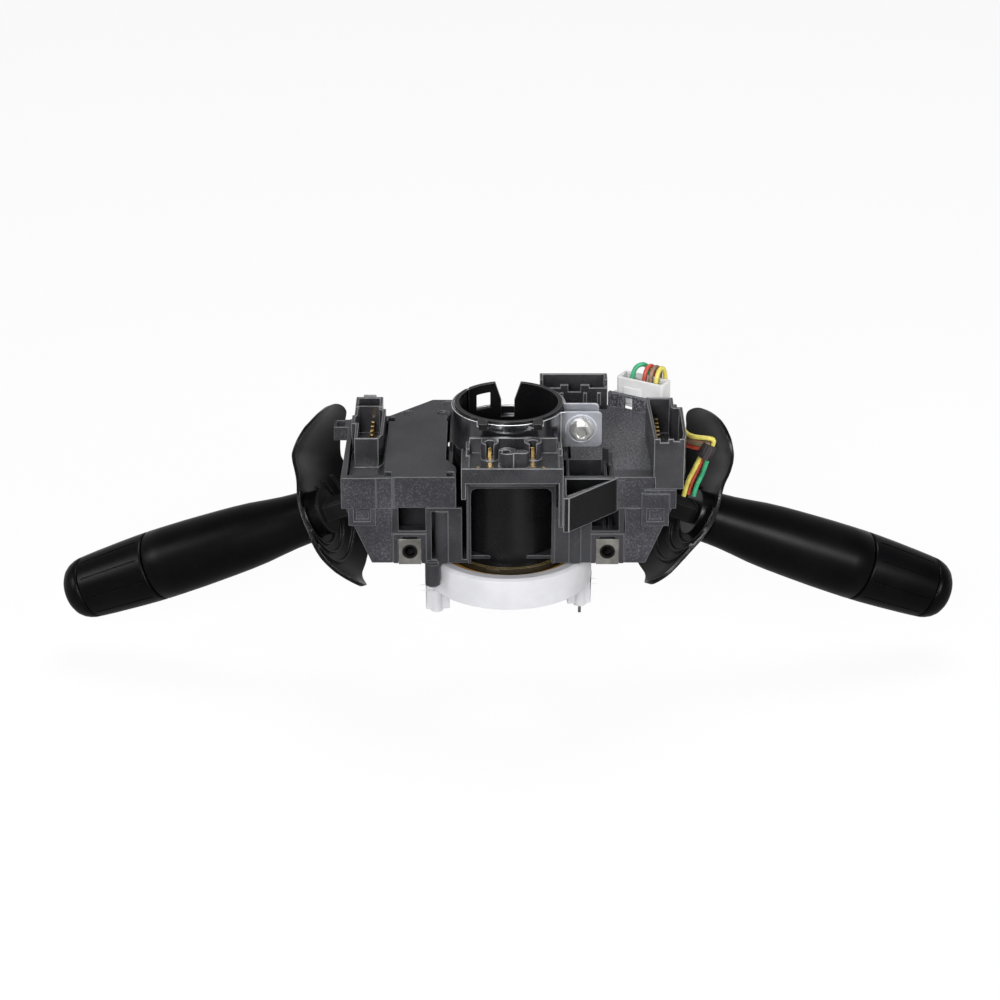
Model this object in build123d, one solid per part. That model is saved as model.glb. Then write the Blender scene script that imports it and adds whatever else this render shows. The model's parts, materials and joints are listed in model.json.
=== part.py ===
from build123d import *
from math import atan2, cos, degrees, pi, radians, sin, sqrt, tan
import os

# Combination stalk switch for a steering column, in millimetres.
# +Z runs along the column away from the steering wheel, -Y is the screw side.
# The origin lies on the column axis, at the lower end of the clamp sleeve.

# driving dimensions
columnD = 45.0            # steering column tube held in the sleeve
sleeveWall = 2.0
sleeveTop = 71.0
runFit = 0.06             # running clearance on a radius
seatFit = 0.05            # clearance of a seated piece on a radius
gap = 0.3                 # free gap between pieces that move past each other
deckZ = 2.8               # underside of the housing
partZ = 30.2              # parting line of case and cover
plateZ = 45.4             # top of the covers
frontRoom = 2.9           # from the sleeve to the screw face
wall = 1.8
nutSize = 10.3            # square sheet nut
nutX = 44.7               # screw hole from the centre plane
nutZ = 8.9
caseX = 73.6              # case half width at the parting line
caseFootX = 62.0          # case half width at its foot
seamX = 52.4              # joint between the middle housing and the side cases
coreRoom = 2.8            # from the sleeve to the outside of the middle box
caseBackY = 43.0
pivotRoom = 19.7          # from the middle box to the stalk pivots
pivotY = 20.0
pivotZ = 20.5
stalkDrop = 23.5          # stalk slope towards the wheel, degrees
stalkSweep = 12.0         # stalk lean towards the rear, degrees
shieldR = 55.8
shieldWall = 1.8
ringT = 136.0             # stations along the stalk, from its pivot
capT = 173.0
tipT = 186.0
hubWall = 2.5
drumRoom = 11.5           # from the bearing ring to the outside of the drum
drumDepth = 15.5
postDepth = 33.0
pegTip = -9.5
wireD = 2.2
bandWall = 1.3
bandTop = 69.9
bandWidth = 17.0
boltD = 5.0
boltReach = 8.2           # from the sleeve to the clamp bolt
boltZ = 61.5
earReach = 9.3            # from the bolt to the end of the ears
frontEarY = -9.6
rearEarY = 0.0
shelfDepth = 22.6         # contact socket in front of the screw face

# sizes that follow
sleeveR = columnD / 2
sleeveOutR = sleeveR + sleeveWall
bandR = sleeveOutR + 0.1
coreX = sleeveOutR + coreRoom
pivot = (-(coreX + pivotRoom), pivotY, pivotZ)   # left stalk, the right one is its mirror
frontY = -(sleeveOutR + frontRoom)
shelfY = frontY - shelfDepth
boltX = sleeveOutR + boltReach
earX = boltX + earReach
hubR = sleeveOutR + hubWall
drumR = hubR + drumRoom
px, py, pz = pivot


def box(x0, x1, y0, y1, z0, z1):
    return Pos((x0 + x1) / 2, (y0 + y1) / 2, (z0 + z1) / 2) * Box(x1 - x0, y1 - y0, z1 - z0)


def rod(x, y, r, z0, z1):
    return Pos(x, y, (z0 + z1) / 2) * Cylinder(r, z1 - z0)


def rodY(x, z, r, y0, y1):
    return Pos(x, (y0 + y1) / 2, z) * Rot(90, 0, 0) * Cylinder(r, y1 - y0)


def tube(outer, inner, z0, z1):
    return rod(0, 0, outer, z0, z1) - rod(0, 0, inner, z0 - 1, z1 + 1)


def prism(points, z0, z1):
    return Pos(0, 0, z0) * extrude(make_face(Polyline(*points, close=True)), z1 - z0)


def prismY(points, y0, y1):
    """Outline in X and Z, carried along Y."""
    face = make_face(Polyline(*[(x, 0, z) for x, z in points], close=True))
    return Pos(0, y0, 0) * extrude(face, y1 - y0, dir=(0, 1, 0))


def flip(shape):
    return mirror(shape, about=Plane.YZ)


def group(shapes):
    return Compound(children=[s for shape in shapes for s in shape.solids()])


stalkPlane = Plane(
    origin=pivot,
    x_dir=(sin(radians(stalkSweep)), cos(radians(stalkSweep)), 0),
    z_dir=(
        -cos(radians(stalkDrop)) * cos(radians(stalkSweep)),
        cos(radians(stalkDrop)) * sin(radians(stalkSweep)),
        -sin(radians(stalkDrop)),
    ),
)
# in this plane x points to the rear, y down to the wheel and z out along the stalk


def onStalk(shape):
    return stalkPlane.location * shape


parts = {}

# ---------------------------------------------------------------- middle housing

windowL, windowR = -17.0, 19.4
windowTop = 40.1
frameWall = 2.0
pocketX0, pocketX1 = 26.0, 43.0
postX = 47.0
bossX = 30.0


stopDepth = 2.0           # lower stop inside the sleeve
tabSpots = (-11.6, 13.0)
tabHalf = 2.0
tabZ = 68.0
collarWindow = (-14.6, -8.4, 59.2, 66.6)


def backWindow():
    x0, x1, z0, z1 = collarWindow
    return box(x0, x1, 12, 30, z0, z1)


def sleeve():
    body = tube(sleeveOutR, sleeveR, -8.0, sleeveTop)
    body += tube(sleeveR + 0.5, sleeveR - stopDepth, -8.0, 0)
    # snap bead that keeps the rotor on the journal
    body += tube(sleeveOutR + 0.7, sleeveR, -6.6, -5.4)
    notch = prismY([(-6.4, 72), (6.0, 72), (2.7, 62), (2.7, 54), (-3.3, 54), (-3.3, 62)], 15, 30)
    body -= notch
    body -= backWindow()
    body -= box(-19.2, -18.2, 5, 30, 55, sleeveTop + 1)
    # tabs that hook over the rim of the band
    for x in tabSpots:
        tab = box(x - tabHalf, x + tabHalf, -(bandR + bandWall + 1.2), -18, tabZ, sleeveTop - 0.1)
        body += tab - rod(0, 0, sleeveR + 0.5, 60, sleeveTop + 1)
    return body


nutPlateUp = nutSize / 2 + 1.0
nutLip = 2.3
nutHoleR = 2.45
screwRoomR = nutHoleR + 1.0


def nutBox(x):
    half = nutSize / 2 + nutLip
    return box(x - half, x + half, frontY - 0.6, frontY + 9, deckZ, 17.4)


def nutSeat(x):
    """Slot for the sheet nut, open to the front and below, with room behind for the screw."""
    half = nutSize / 2 + 0.1
    seat = box(x - half, x + half, frontY - 2, frontY + 2.3, 0, nutZ + nutPlateUp + 0.1)
    seat += box(x - 3.6, x + 3.6, frontY - 2, frontY + 3.4, nutZ, 16.2)
    return seat + rodY(x, nutZ, screwRoomR, frontY, frontY + 12)


def tubeBoss(x):
    return rod(x, frontY + 2.2, 3.4, deckZ, chuteZ0 - 0.1)


def windowFrame():
    outer = box(windowL - frameWall, windowR + frameWall, frontY, -14, deckZ, windowTop + frameWall)
    inner = box(windowL, windowR, frontY - 2, -10, 0, windowTop)
    edges = inner.edges().filter_by(Axis.Y).group_by(Axis.Z)[-1]
    lip = box(windowL - 1.4, windowR + 1.4, frontY - 0.8, frontY + 1, deckZ, windowTop + 1.4)
    return outer + lip - fillet(edges, 3.0) - rod(0, 0, sleeveOutR + seatFit, -10, 60)


def mainHousing():
    body = windowFrame()
    body += box(-seamX, seamX, frontY, -6, deckZ, deckZ + wall)
    body += box(-coreX, coreX, -6, 56, deckZ, deckZ + wall)
    for side in (-1, 1):
        x0, x1 = sorted((side * seamX, side * (seamX - wall)))
        body += box(x0, x1, frontY, -6, deckZ, partZ)
        x0, x1 = sorted((side * coreX, side * (coreX - wall)))
        body += box(x0, x1, -8, 56, deckZ, 42)
        x0, x1 = sorted((side * (windowR + 1.6), side * seamX))
        body += box(x0, x1, frontY, frontY + 2, deckZ, partZ)
        body += box(x0, x1, -6 - wall, -6, deckZ, partZ)
    body += box(-coreX, coreX, 54.2, 56, deckZ, 42)
    body += box(coreX - wall, postX, 52.4, 56, 36, 42)
    body += clampPocket()
    # front bulkhead behind the contact socket
    body += box(windowL - frameWall, windowR + frameWall, frontY, frontY + 1.6, windowTop, 52)
    # deep pockets above the nuts
    body -= box(-nutX - 5.0, -nutX + 7.2, frontY - 1, -9, 18.9, partZ + 1)
    body -= box(nutX - 7.2, nutX + 5.0, frontY - 1, -9, 18.9, partZ - 1)
    for x in (-bossX, bossX):
        if x < 0:
            body -= box(x - 4.8, x + 1.6, frontY - 1, frontY + 8, deckZ + wall, partZ - 2)
        body += tubeBoss(x)
    for x in (-nutX, nutX):
        body += nutBox(x)
        body -= nutSeat(x)
    body += locatingPeg()
    body += tube(coreX, sleeveOutR, deckZ, deckZ + wall)
    for angle in (40, 90, 140):
        body += Rot(0, 0, angle) * box(sleeveOutR, coreX, -1, 1, deckZ, 40)
    body -= rod(0, 0, sleeveOutR + seatFit, deckZ - 4, 60)
    return body - box(windowL, windowR, frontY - 2, -23.2, -1, windowTop - 3)


pegX, pegY = -34.6, -25.2
pegR = 3.4
pegCollar = 0.9


def locatingPeg():
    """Round peg below the deck, with a collar at its root."""
    peg = rod(pegX, pegY, pegR, pegTip, deckZ)
    peg = chamfer(peg.edges().group_by(Axis.Z)[0], 0.8)
    return peg + rod(pegX, pegY, pegR + 0.5, deckZ - pegCollar, deckZ + 1)


def clampPocket():
    """Open cells under the clamp ears, with the corner bracket of the right tray."""
    x0 = windowR + 1.6
    body = box(x0, postX, frontY, -6, deckZ, plateZ)
    cells = ((x0 + 1.8, pocketX0), (pocketX0 + 1.2, pocketX1), (pocketX1 + 1.2, postX - wall))
    for a, b in cells:
        body -= box(a, b, frontY + 2, -7.4, deckZ + wall, plateZ + 1)
    body -= box(x0 - 2, pocketX0 - 2, frontY - 1, frontY + 5.5, 16.8, 44)
    body += prism([(42.4, -7.0), (postX, -10.4), (postX, -12.2), (42.4, -8.8)], plateZ - 6, 52)
    return body + box(postX - 1.6, postX, -14.0, -10.4, plateZ - 6, 52)


def clampBand():
    mid = bandR + bandWall / 2
    start = radians(-24)
    end = radians(0)
    a = (mid * cos(start), mid * sin(start))
    b = (mid * cos(end), mid * sin(end))
    arc = ThreePointArc(a, (-mid, 0.01), b)
    front = Polyline(a, (26.9, frontEarY), (earX, frontEarY))
    rear = Polyline(b, (earX - 1, rearEarY))
    body = Sketch() + [trace(piece, bandWall) for piece in (arc, front, rear)]
    body = Pos(0, 0, bandTop - bandWidth) * extrude(body, bandWidth)
    for x in tabSpots:
        body -= box(x - tabHalf - 0.4, x + tabHalf + 0.4, -bandR - 5, -18, tabZ - 0.3, sleeveTop)
    body -= box(-7.2, 6.8, 20, 30, 58.5, sleeveTop)
    body -= backWindow()
    body -= rodY(boltX, boltZ, boltD / 2 + 0.2, -20, 10)
    # pressed ring round the bolt hole
    ring = rodY(boltX, boltZ, 7.0, frontEarY - bandWall / 2 - 0.5, frontEarY)
    ring -= rodY(boltX, boltZ, 5.8, frontEarY - 5, frontEarY + 1)
    corners = body.edges().filter_by(Axis.Y).filter_by_position(Axis.X, earX - 1.5, earX + 1)
    return fillet(corners, 2.0) + ring


def clampBolt():
    face = frontEarY - bandWall / 2
    body = rodY(boltX, boltZ, 5.25, face - 1.4, face)
    hexagon = extrude(Plane.XZ * RegularPolygon(3.5, 6, major_radius=False), 4.0)
    body += Pos(boltX, face - 1.4, boltZ) * hexagon
    body -= rodY(boltX, boltZ, 2.2, face - 6, face - 4.6)
    return body + rodY(boltX, boltZ, boltD / 2, face, rearEarY + 8)


def clampNut():
    face = rearEarY + bandWall / 2
    body = extrude(Plane.XZ * RegularPolygon(4.0, 6, major_radius=False), -4.0)
    return Pos(boltX, face, boltZ) * body - rodY(boltX, boltZ, boltD / 2, face - 1, face + 5)


def shroudNut(x):
    half = nutSize / 2
    body = box(x - half, x + half, frontY - 0.9, frontY + 0.3, nutZ - half - 1.2, nutZ + half + 1.0)
    body += box(x - half, x + half, frontY + 0.3, frontY + 2.2, nutZ - half - 1.2, nutZ - half - 0.1)
    body += rodY(x, nutZ, 3.6, frontY + 0.2, frontY + 2.0)
    return body - rodY(x, nutZ, nutHoleR, frontY - 3, frontY + 5)


# ---------------------------------------------------------------- side cases and covers

pivotBossR = 6.0
pinR = 3.0
carrierHalf = 10.8        # half height of the opening in the carrier
bridge = 2.7


def casePlan(inset=0.0):
    return [
        (-caseX - 4 + inset, frontY + inset),
        (-seamX - inset, frontY + inset),
        (-seamX - inset, -5.9 + inset),
        (-coreX - inset, -5.9 + inset),
        (-coreX - inset, caseBackY - inset),
        (-56.0, caseBackY - inset),
        (-caseX - 4 + inset, 38.0 - inset),
    ]


def slope(inset, z0, z1):
    foot = caseFootX - inset
    top = caseX - inset
    lean = (top - foot) / (partZ - deckZ)
    return prismY([
        (-foot + lean * (deckZ - z0), z0),
        (-top - lean * (z1 - partZ), z1),
        (0, z1),
        (0, z0),
    ], -60, 80)


def stalkWindow():
    return onStalk(Pos(0, 0, 40) * Box(31, 26, 44) + Pos(0, 0, 16) * Box(23, 15, 14))


def leftCase():
    body = prism(casePlan(), deckZ, partZ) & slope(0, deckZ, partZ)
    hollow = prism(casePlan(wall), deckZ + wall, partZ + 1) & slope(wall, deckZ + wall, partZ + 1)
    body -= hollow
    body -= stalkWindow()
    body += rod(px, py, pivotBossR, deckZ, pz - carrierHalf - bridge - 2 * gap)
    body -= rod(px, py, pinR + runFit, deckZ + 1.0, 20)
    body += latchWedge(-66.0)
    # standing ribs
    for y in (-18.0, -10.0):
        body += box(-62.0, -seamX - wall + 0.1, y, y + 1.2, deckZ + wall - 0.1, 26)
    return body


coverBack = 63.6
coverX = coreX + 1.1
coverFrontX = coreX - 3.7


def coverPlan(inset=0.0):
    return [
        (-75.3 + inset, frontY + inset),
        (-coverFrontX - inset, frontY + inset),
        (-coverFrontX - inset, -16.0 + inset),
        (-coverX - inset, -7.0 + inset),
        (-coverX - inset, 46.0),
        (-20.0 - inset, coverBack - inset),
        (-36.0, coverBack - inset),
        (-55.6, caseBackY + 1.0 - inset),
        (-74.4 + inset, 39.7 - inset),
    ]


tubX0, tubX1 = -72.6, -56.0
tubY0, tubY1 = -24.6, 37.6


def snapFrame(x):
    """Latch loop on a cover skirt that catches a wedge on the case."""
    loop = box(x - 6.2, x + 6.2, frontY - 0.9, frontY, 21.6, plateZ - 8)
    loop -= box(x - 3.6, x + 3.6, frontY - 2, frontY + 1, 24.0, partZ)
    return loop


def latchWedge(x):
    return prismAlongX([(frontY, 24.3), (frontY - 0.8, 25.0), (frontY, 29.6)], x - 2.9, x + 2.9)


def prismAlongX(points, x0, x1):
    face = make_face(Polyline(*[(0, y, z) for y, z in points], close=True))
    return Pos(x0, 0, 0) * extrude(face, x1 - x0, dir=(1, 0, 0))


def pivotCap():
    """Boss for the upper pivot pin of a carrier."""
    boss = rod(px, py, pivotBossR, pz + carrierHalf + bridge + 2 * gap, plateZ - wall + 0.1)
    return boss - rod(px, py, pinR + runFit, 30, plateZ - wall - 1.0)


def coverShell(plan, inner):
    body = prism(plan, partZ, plateZ) - prism(inner, partZ - 1, plateZ - wall)
    # the skirt stands clear of the middle box
    return body - box(-coreX - 0.1, coreX + 0.1, -6, 70, partZ - 1, 42.3)


def leftCover():
    body = coverShell(coverPlan(), coverPlan(wall))
    body -= box(tubX0, tubX1, tubY0, tubY1, partZ, plateZ + 1)
    body += box(-seamX, -seamX + 0.8, frontY - 0.4, frontY, partZ, plateZ)
    body += box(-59.6, -seamX, frontY - 0.8, frontY, partZ, plateZ)
    body += box(-75.3, -59.6, frontY - 1.2, frontY, partZ, plateZ)
    body += snapFrame(-66.0)
    # ejector marks and sink holes
    for x, y in ((-28.4, 59.0), (-47.1, 47.0)):
        body -= rod(x, y, 2.9, plateZ - 0.35, plateZ + 1)
    body -= rod(-30.5, 47.0, 3.0, plateZ - 1.0, plateZ + 1)
    for x, y in ((-54.6, 39.8), (-27.4, 39.8), (-26.2, -23.4), (-54.4, -23.4)):
        body -= box(x - 1.6, x + 1.6, y - 2.2, y + 2.2, plateZ - wall - 0.1, plateZ + 1)
    # latch eye on the side wall
    eye = box(-81.5, -74.0, 30.0, 39.2, 38.5, plateZ)
    eye -= box(-80.2, -76.2, 31.4, 37.8, 30, 60)
    return body + eye + pivotCap()


def rightCoverPlan(inset=0.0):
    return [
        (75.3 - inset, frontY + inset), (postX + 0.1 + inset, frontY + inset),
        (postX + 0.1 + inset, -5.9 + inset), (coverX + inset, -5.9 + inset),
        (coverX + inset, 52.2 - inset), (postX + 0.1, 52.2 - inset), (postX + 0.1, 56.0 - inset * 1.2),
        (66.0 - 0.3 * inset, 45.0 - inset), (75.0 - inset, 39.7 - inset * 0.8),
    ]


def rightCover():
    body = coverShell(rightCoverPlan(), rightCoverPlan(wall))
    body += box(61.0, 75.3, frontY - 0.8, frontY, partZ, plateZ - 6)
    body += flip(snapFrame(-66.0))
    # slanting rear wall that carries the wire plug
    rear = prism([(postX + 0.1, 55.9), (48.0, 58.0), (66.8, 46.6), (66.0, 44.9)], plateZ - 4, 52.6)
    rear -= Pos(57.2, 51.8, 48.4) * Rot(0, 0, -31) * Box(4.4, 8, 6.0)
    body += rear + flip(pivotCap())
    # seat of the right header
    body -= box(65.4, 80, frontY + 2.4, 21.0, partZ, plateZ + 1)
    return body - box(65.4, 80, frontY - 2, frontY + 3, 39.9, plateZ + 1)


screwSpots = ((-coreX - 5.9, 37.4), (-coreX - 6.3, -0.4))
screwHeadR = 2.7
screwR = 1.5


def screwColumns(z0, z1):
    body = None
    for x, y in screwSpots:
        column = rod(x, y, screwHeadR + 1.2, z0, z1)
        body = column if body is None else body + column
    return body


def screwHoles():
    body = None
    for x, y in screwSpots:
        hole = rod(x, y, screwR, 0, plateZ - wall - 2)
        hole += rod(x, y, screwHeadR + 0.1, 0, deckZ + 2.2)
        body = hole if body is None else body + hole
    return body


def caseScrews():
    screws = []
    for x, y in screwSpots:
        screw = rod(x, y, screwHeadR, deckZ + 0.2, deckZ + 2.2)
        screw += rod(x, y, screwR, deckZ + 2.2, plateZ - wall - 3)
        screw -= rod(x, y, 1.2, deckZ, deckZ + 1.4)
        screws += [screw, flip(screw)]
    return group(screws)


boardZ = 35.2
boardT = 1.6


def board():
    """Circuit board under the cover, round the pivot boss and the screw columns."""
    body = box(-54.6, -31.0, -3.5, 41.0, boardZ, boardZ + boardT)
    body += box(-71.4, -54.0, -22.0, 36.0, boardZ, boardZ + boardT)
    body -= rod(px, py, pivotBossR + 0.4, 30, 40)
    for x, y in screwSpots:
        body -= rod(x, y, screwHeadR + 1.6, 30, 40)
    return body


def boardPosts():
    body = None
    for x, y in ((-49.6, 38.0), (-38.0, 38.0), (-52.0, 0.0)):
        post = rod(x, y, 1.6, boardZ + boardT, plateZ - wall + 0.1)
        body = post if body is None else body + post
    return body


# ---------------------------------------------------------------- stalks

neckW, neckU = 12.0, 9.0
tailT = -12.0
plungerR = 2.4
trackR = 15.9
shieldRise = 2.3
shieldBack = 3.9
crossPinR = 1.75
shaftR = 3.0
stalkWall = 2.2
shellProfile = ((46.0, 12.2), (63.0, 12.85), (80.0, 14.9), (98.0, 16.05), (115.5, 16.7), (135.6, 16.95))
knobProfile = ((136.2, 16.95), (151.5, 16.5), (165.0, 15.8), (173.0, 15.25))


def turned(profile, inset=0.0):
    """Solid of revolution about the stalk axis, through stations (t, radius)."""
    points = [(r - inset, 0, t) for t, r in profile]
    curve = Spline(*points)
    edges = [
        curve,
        Line(points[-1], (0, 0, points[-1][2])),
        Line((0, 0, points[-1][2]), (0, 0, points[0][2])),
        Line((0, 0, points[0][2]), points[0]),
    ]
    return revolve(make_face(edges), Axis.Z)


def disc(r, t0, t1):
    return rod(0, 0, r, t0, t1)


def shieldBall(r, rise, back):
    return Pos(0.5, -rise, -back) * Sphere(r)


def shieldOutline():
    """Rim seen along the stalk, x to the rear and y up."""
    rim = [
        (4, 46.8), (19, 43.5), (29.5, 35), (34, 15), (31.5, -9), (21, -26), (5, -33.4),
        (-9, -34.4), (-20, -34.6), (-27.4, -30.6), (-27, -19), (-23, -5), (-15, 7),
        (-9, 19), (-9.5, 33), (-5, 42.5),
    ]
    return make_face(Spline(*[(w, -u) for w, u in rim], periodic=True))


ridgeHeight = 1.1
ridgeRings = (14.5, 19.0, 24.5)


def shield(rise, back, radius):
    shell = shieldBall(radius, rise, back) - shieldBall(radius - shieldWall, rise, back)
    cutter = Pos(0, 0, 8) * extrude(shieldOutline(), 60)
    body = shell & cutter
    for inner in ridgeRings:
        foot = radius - shieldWall
        ridge = shieldBall(foot + 0.1, rise, back) - shieldBall(foot - ridgeHeight, rise, back)
        ridge &= disc(inner + 1.2, 8, 68) - disc(inner, 8, 69)
        body += ridge & cutter & (Pos(0, 14, 38) * Box(60, 46, 60))
    return body - disc(6.1, 10, 70)


def lever(rise, back, radius):
    body = Pos(0, 0, (tailT + 44) / 2) * Box(neckW, neckU, 44 - tailT)
    body = chamfer(body.edges().filter_by(Axis.Z), 1.0)
    flange = disc(11.0, radius - 13.8, radius - shieldWall) & shieldBall(radius - shieldWall, rise, back)
    body += flange + disc(6.0, 44, radius + 5.2)
    body -= Rot(0, 90, 0) * Cylinder(crossPinR + runFit, 40)
    body -= disc(plungerR + runFit, tailT - 1, -3.6)
    return body - disc(shaftR + runFit, 50, radius + 6)


def stalkShell(rise, back, radius):
    body = turned(shellProfile)
    inner = ((50.0, 12.3),) + shellProfile[1:5] + ((132.6, 16.9),)
    seat = radius + 5.2
    body -= turned(inner, stalkWall)
    body -= shieldBall(radius, rise, back)
    hub = disc(9.0, seat - 7, seat) - disc(6.0, 44, seat + 1)
    ribs = Pos(0, 0, seat - 3.5) * (Box(1.6, 24, 7) + Box(24, 1.6, 7))
    hub += (ribs & turned(shellProfile, 0.5)) - disc(8.0, 44, seat + 1)
    body += hub - shieldBall(radius, rise, back)
    return body - disc(shaftR + runFit, 120, 140)


grooves = 10


def knob():
    body = turned(knobProfile)
    body -= disc(13.2, 155.0, 174)
    body -= disc(14.0, 136, 146) - disc(6.0, 136, 146)
    body -= disc(shaftR, 130, 180)
    taper = degrees(atan2(knobProfile[0][1] - knobProfile[-1][1], capT - ringT))
    for i in range(grooves):
        groove = Pos(16.4, 0, (ringT + capT) / 2) * Rot(0, -taper, 0) * Box(1.0, 0.7, 33)
        body -= Rot(0, 0, 360 / grooves * i) * groove
    return body


capR = 15.15


def endCap():
    curve = Spline(
        (capR, 0, capT + gap), (capR - 0.55, 0, capT + 4.6), (capR - 2.75, 0, tipT - 3.8),
        (capR / 2, 0, tipT - 0.8), (0, 0, tipT),
        tangents=((-0.06, 0, 1), (-1, 0, 0)),
    )
    foot = (0, 0, capT + gap)
    face = make_face([curve, Line((0, 0, tipT), foot), Line(foot, curve @ 0)])
    body = revolve(face, Axis.Z)
    body += disc(13.1, capT - 5, capT + gap) - disc(11.2, capT - 6, capT + gap)
    return body - disc(shaftR, 165, 176)


def knobShaft():
    return disc(shaftR, 54, 175.9) - (disc(5, 131.4, 132.4) - disc(2.4, 131, 133))


def shaftClip():
    return disc(5.6, 131.4, 132.4) - disc(2.4, 131, 133) - Pos(6, 0, 131.9) * Box(8, 3.4, 3)


def crossPin():
    return Rot(0, 90, 0) * Cylinder(crossPinR, 22)


def plunger():
    return disc(plungerR, tailT - 1.2, -8.0) + Pos(0, 0, tailT - 1.2) * Sphere(plungerR)


def spring():
    wire = 0.5
    coil = Helix(pitch=0.85, height=3.6, radius=1.7)
    section = Plane(origin=coil @ 0, z_dir=coil % 0) * Circle(wire / 2)
    return Pos(0, 0, -7.7) * sweep(section, path=coil)


carrierX, carrierY = 23.0, 18.0
carrierReach = sqrt(carrierX ** 2 + (carrierY - 3.0) ** 2) / 2
carrierPlane = Plane(origin=pivot, x_dir=stalkPlane.x_dir, z_dir=(0, 0, 1))


def carrier():
    body = Box(carrierX, carrierY, 2 * (carrierHalf + bridge))
    body -= Box(neckW + 0.6, 20, 2 * carrierHalf)
    body = chamfer(body.edges().filter_by(Axis.Z), 1.5)
    body += rod(0, 0, pinR, carrierHalf, plateZ - wall - 1.3 - pz)
    body += rod(0, 0, pinR, deckZ + 1.3 - pz, -carrierHalf)
    body = carrierPlane.location * body
    return body - onStalk(Rot(0, 90, 0) * Cylinder(crossPinR, 60))


def contactLeaf():
    body = box(-9, 9, 6.6, 8.8, carrierHalf + bridge, carrierHalf + bridge + 0.4)
    for x in (-7.5, -2.5, 2.5, 7.5):
        body += box(x - 1, x + 1, 6.6, 13.0, carrierHalf + bridge, carrierHalf + bridge + 0.4)
    return carrierPlane.location * body


def detentTrack():
    body = box(px + 11.0, -(coreX + 3.0), 8.0, 26.0, 19.0, 34.4)
    body += box(-(coreX + 3.1), -(coreX + 1.8), 10.0, 24.0, 19.0, 29.8)
    body -= Pos(*pivot) * Sphere(trackR)
    body -= rod(px, py, carrierReach + gap, 10, 40)
    for angle in (-12, 0, 12):
        groove = Pos(0, 0, -trackR) * Rot(90, 0, 0) * Cylinder(0.9, 12)
        body -= Pos(*pivot) * Rot(0, 0, angle) * (Pos(-px, -py, -pz) * onStalk(groove))
    return body


# ---------------------------------------------------------------- rotor

rotorTurn = 5.0
postR = drumR - 5.0
drumInR = drumR - 5.3
hubBoreR = sleeveR - 6.5
pinShankR = 1.2
pinTipR = 0.7
pinTipLength = 4.3


def spiralRotor():
    body = tube(drumR, drumR - 2.4, -drumDepth, -0.4)
    body += tube(drumR - 0.8, drumInR, -2.6, -0.4)
    body += tube(drumR, hubR, -drumDepth, -drumDepth + 2)
    rim = body.edges().filter_by(GeomType.CIRCLE).group_by(Axis.Z)[-1]
    body = chamfer(rim.sort_by(SortBy.RADIUS)[-1], 1.3)
    for angle in (0, 180):
        post = box(hubR + 0.6, drumR, -1.8, 1.8, -postDepth + 1, -drumDepth + 0.1)
        post += rod(postR, 0, 3.1, -postDepth, -drumDepth + 0.1)
        post += box(postR - 3.9, postR + 3.9, -3.1, 3.1, -drumDepth - 6, -drumDepth + 0.1)
        if angle == 0:
            post -= rod(postR, 0, pinShankR, -postDepth - 1, -postDepth + 8)
        body += Rot(0, 0, angle) * post
    return Rot(0, 0, rotorTurn) * body


def rotorHub():
    """Bearing ring with the cancelling cam lobes on top."""
    inner = sleeveOutR + runFit
    body = tube(hubR, inner, -drumDepth + 2, -0.6)
    body += tube(hubR + 2.4, hubBoreR, -drumDepth + 2, -drumDepth + 3.4)
    body += tube(hubR, hubBoreR, -drumDepth, -drumDepth + 2.1)
    body += tube(hubBoreR + 1.6, hubBoreR, -drumDepth + 2, -4.5)
    body -= tube(sleeveOutR + 0.95, inner - 0.2, -6.9, -5.1)
    for angle in (70, 250):
        lobe = box(hubR - 0.5, hubR + 1.4, -3, 3, -2.2, -0.6)
        body += Rot(0, 0, angle) * (lobe & rod(0, 0, hubR + 1.4, -3, 0))
    return Rot(0, 0, rotorTurn) * body


def drivePin():
    pin = rod(postR, 0, pinShankR, -postDepth, -postDepth + 8)
    return Rot(0, 0, rotorTurn) * (pin + rod(postR, 0, pinTipR, -postDepth - pinTipLength, -postDepth))


def ribbon():
    """Flat cable wound in half turns whose centres alternate, which gives an even spiral."""
    pitch, thick, turns = 1.1, 0.3, 3
    edges = []
    radius = hubR + 1.9
    for i in range(2 * turns):
        side = 1 if i % 2 == 0 else -1
        cx = -side * pitch / 4
        arc = CenterArc((cx, 0), radius, 0 if side == 1 else 180, 180)
        edges.append(arc)
        radius += pitch / 2
    body = trace(Wire(edges), thick)
    return Pos(0, 0, -12.0) * extrude(body, 9.6)


# ---------------------------------------------------------------- connectors

def headerBox(plan, z0, z1, floor, shell=1.4):
    outer = make_face(Polyline(*plan, close=True))
    inner = offset(outer, -shell)
    return Pos(0, 0, z0) * extrude(outer, z1 - z0) - Pos(0, 0, floor) * extrude(inner, z1)


def pinField(xs, ys, z0, z1, width=0.8):
    return [box(x - width / 2, x + width / 2, y - width / 2, y + width / 2, z0, z1) for x in xs for y in ys]


leftHeaderFloor = 38.0
leftPinX = -63.2
leftPinY = [2.5 + 5.0 * i for i in range(9)]


def leftHeader():
    plan = [
        (-70.3, -1.3), (-59.4, -1.3), (-57.4, 4.0), (-57.0, 34.0), (-58.8, 34.0), (-58.8, 37.2),
        (-71.4, 37.2), (-71.4, 26.5), (-72.4, 26.5), (-72.4, 16.5), (-70.3, 16.5),
    ]
    body = headerBox(plan, boardZ + boardT, 53.0, leftHeaderFloor + 2)
    back = headerBox([(-71.4, 35.8), (-58.8, 35.8), (-58.8, 47.6), (-71.4, 47.6)], 45.6, 53.4, 47.0)
    body += back
    body += box(tubX0 + 0.2, tubX1 - 0.2, tubY0 + 0.2, tubY1 - 0.2, boardZ + boardT, boardZ + boardT + 1.8)
    body += box(-68.0, -62.0, 47.4, 48.4, 47, 54.2)
    for pin in leftHeaderPins().solids():
        body -= pin
    return body


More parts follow.
